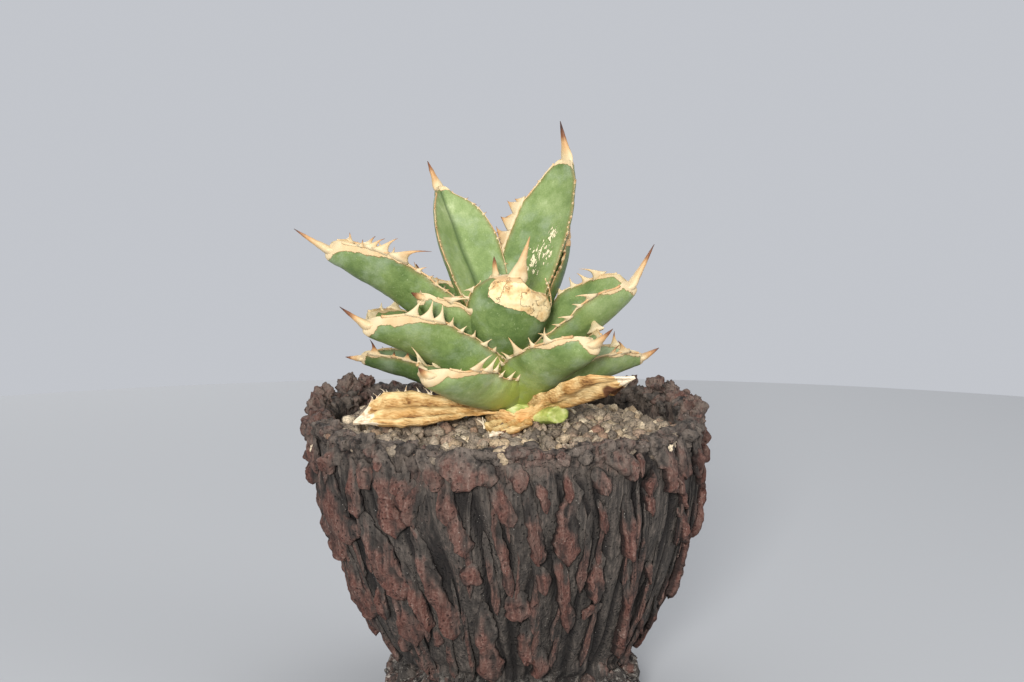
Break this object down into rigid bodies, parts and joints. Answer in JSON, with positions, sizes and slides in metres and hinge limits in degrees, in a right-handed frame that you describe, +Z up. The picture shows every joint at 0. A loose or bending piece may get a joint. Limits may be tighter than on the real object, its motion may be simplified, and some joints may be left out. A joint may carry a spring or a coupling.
{
  "type": "potted agave",
  "caption": "Small rosette succulent with thick toothed, spine-tipped leaves, growing in grit in a rough dark hand-built bowl-shaped pot.",
  "frame": {"origin": "middle of the underside of the pot's foot, on the surface that it stands on", "axes": "+Z up out of the pot; -Y is the front that the picture shows; +X to its right"},
  "size_m": [0.124, 0.1227, 0.1745],
  "materials": {
    "stoneware": "rough matte charcoal and red-brown stoneware, combed body with pressed-on slabs",
    "grit": "matte loose lava and pumice grit",
    "stem_flesh": "soft satin plant skin",
    "leaf_flesh": "satin green skin with a grey-blue bloom",
    "young_leaf": "satin yellow-green skin",
    "horny_edge": "dry matte horn, cream to red-brown at the points",
    "dried_leaf": "dry straw-coloured wrinkled leaf"
  },
  "bodies": {
    "root": {"cut_leaf_stub": "young_leaf", "dried_leaf_front": "dried_leaf", "dried_leaf_left": "dried_leaf", "dried_leaf_right": "dried_leaf", "edge_back_left": "horny_edge", "edge_back_left_low": "horny_edge", "edge_back_low": "horny_edge", "edge_back_right": "horny_edge", "edge_back_right_low": "horny_edge", "edge_bud": "horny_edge", "edge_centre_front": "horny_edge", "edge_front_left": "horny_edge", "edge_front_right": "horny_edge", "edge_left_inner": "horny_edge", "edge_left_low": "horny_edge", "edge_left_middle": "horny_edge", "edge_left_upper": "horny_edge", "edge_right_inner": "horny_edge", "edge_right_low": "horny_edge", "edge_right_upper": "horny_edge", "edge_tall_left": "horny_edge", "edge_tall_right": "horny_edge", "leaf_back_left": "leaf_flesh", "leaf_back_left_low": "leaf_flesh", "leaf_back_low": "leaf_flesh", "leaf_back_right": "leaf_flesh", "leaf_back_right_low": "leaf_flesh", "leaf_bud": "young_leaf", "leaf_centre_front": "leaf_flesh", "leaf_front_left": "leaf_flesh", "leaf_front_right": "leaf_flesh", "leaf_left_inner": "leaf_flesh", "leaf_left_low": "leaf_flesh", "leaf_left_middle": "leaf_flesh", "leaf_left_upper": "leaf_flesh", "leaf_right_inner": "leaf_flesh", "leaf_right_low": "leaf_flesh", "leaf_right_upper": "leaf_flesh", "leaf_tall_left": "leaf_flesh", "leaf_tall_right": "leaf_flesh", "pot": "stoneware", "soil": "grit", "stem": "stem_flesh"}
  },
  "joints": []
}
